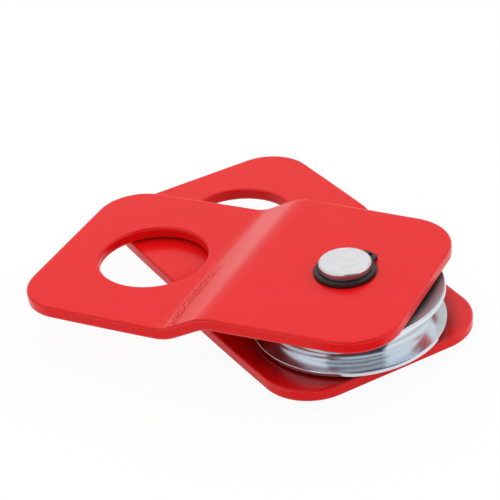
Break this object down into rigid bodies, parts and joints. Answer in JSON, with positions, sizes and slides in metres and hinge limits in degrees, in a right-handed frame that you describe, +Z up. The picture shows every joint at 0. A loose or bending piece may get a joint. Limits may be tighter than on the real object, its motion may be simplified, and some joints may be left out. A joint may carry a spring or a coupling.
{
  "type": "snatch block",
  "caption": "Pulley block with joggled side plates that swing open on a circlip-held pin, a grooved rope sheave between them and round shackle eyes.",
  "frame": {"origin": "centre of the pin's lower end face, which stands on the ground", "axes": "+Z up along the pin, -X from the pin towards the upper plate's shackle eye"},
  "size_m": [0.1668, 0.1469, 0.037],
  "materials": {
    "plate_paint": "gloss",
    "sheave_zinc": "polished",
    "bush_bronze": "satin",
    "pin_zinc": "satin",
    "ring_spring_steel": "satin",
    "washer_steel": "satin"
  },
  "bodies": {
    "axle": {"axle_pin": "pin_zinc", "upper_circlip": "ring_spring_steel", "lower_circlip": "ring_spring_steel", "upper_thrust_washer": "washer_steel", "lower_thrust_washer": "washer_steel"},
    "sheave": {"sheave": "sheave_zinc", "sheave_bush": "bush_bronze"},
    "upper_plate": {"upper_side_plate": "plate_paint"},
    "lower_plate": {"lower_side_plate": "plate_paint"}
  },
  "joints": [
    {"name": "sheave_spin", "type": "hinge", "parent": "axle", "child": "sheave", "pos_m": [0, 0, 0.0185], "axis": [0, 0, 1], "continuous": true},
    {"name": "upper_plate_swing", "type": "hinge", "parent": "axle", "child": "upper_plate", "pos_m": [0, 0, 0.0185], "axis": [0, 0, 1], "continuous": true},
    {"name": "lower_plate_swing", "type": "hinge", "parent": "axle", "child": "lower_plate", "pos_m": [0, 0, 0.0185], "axis": [0, 0, 1], "continuous": true}
  ]
}
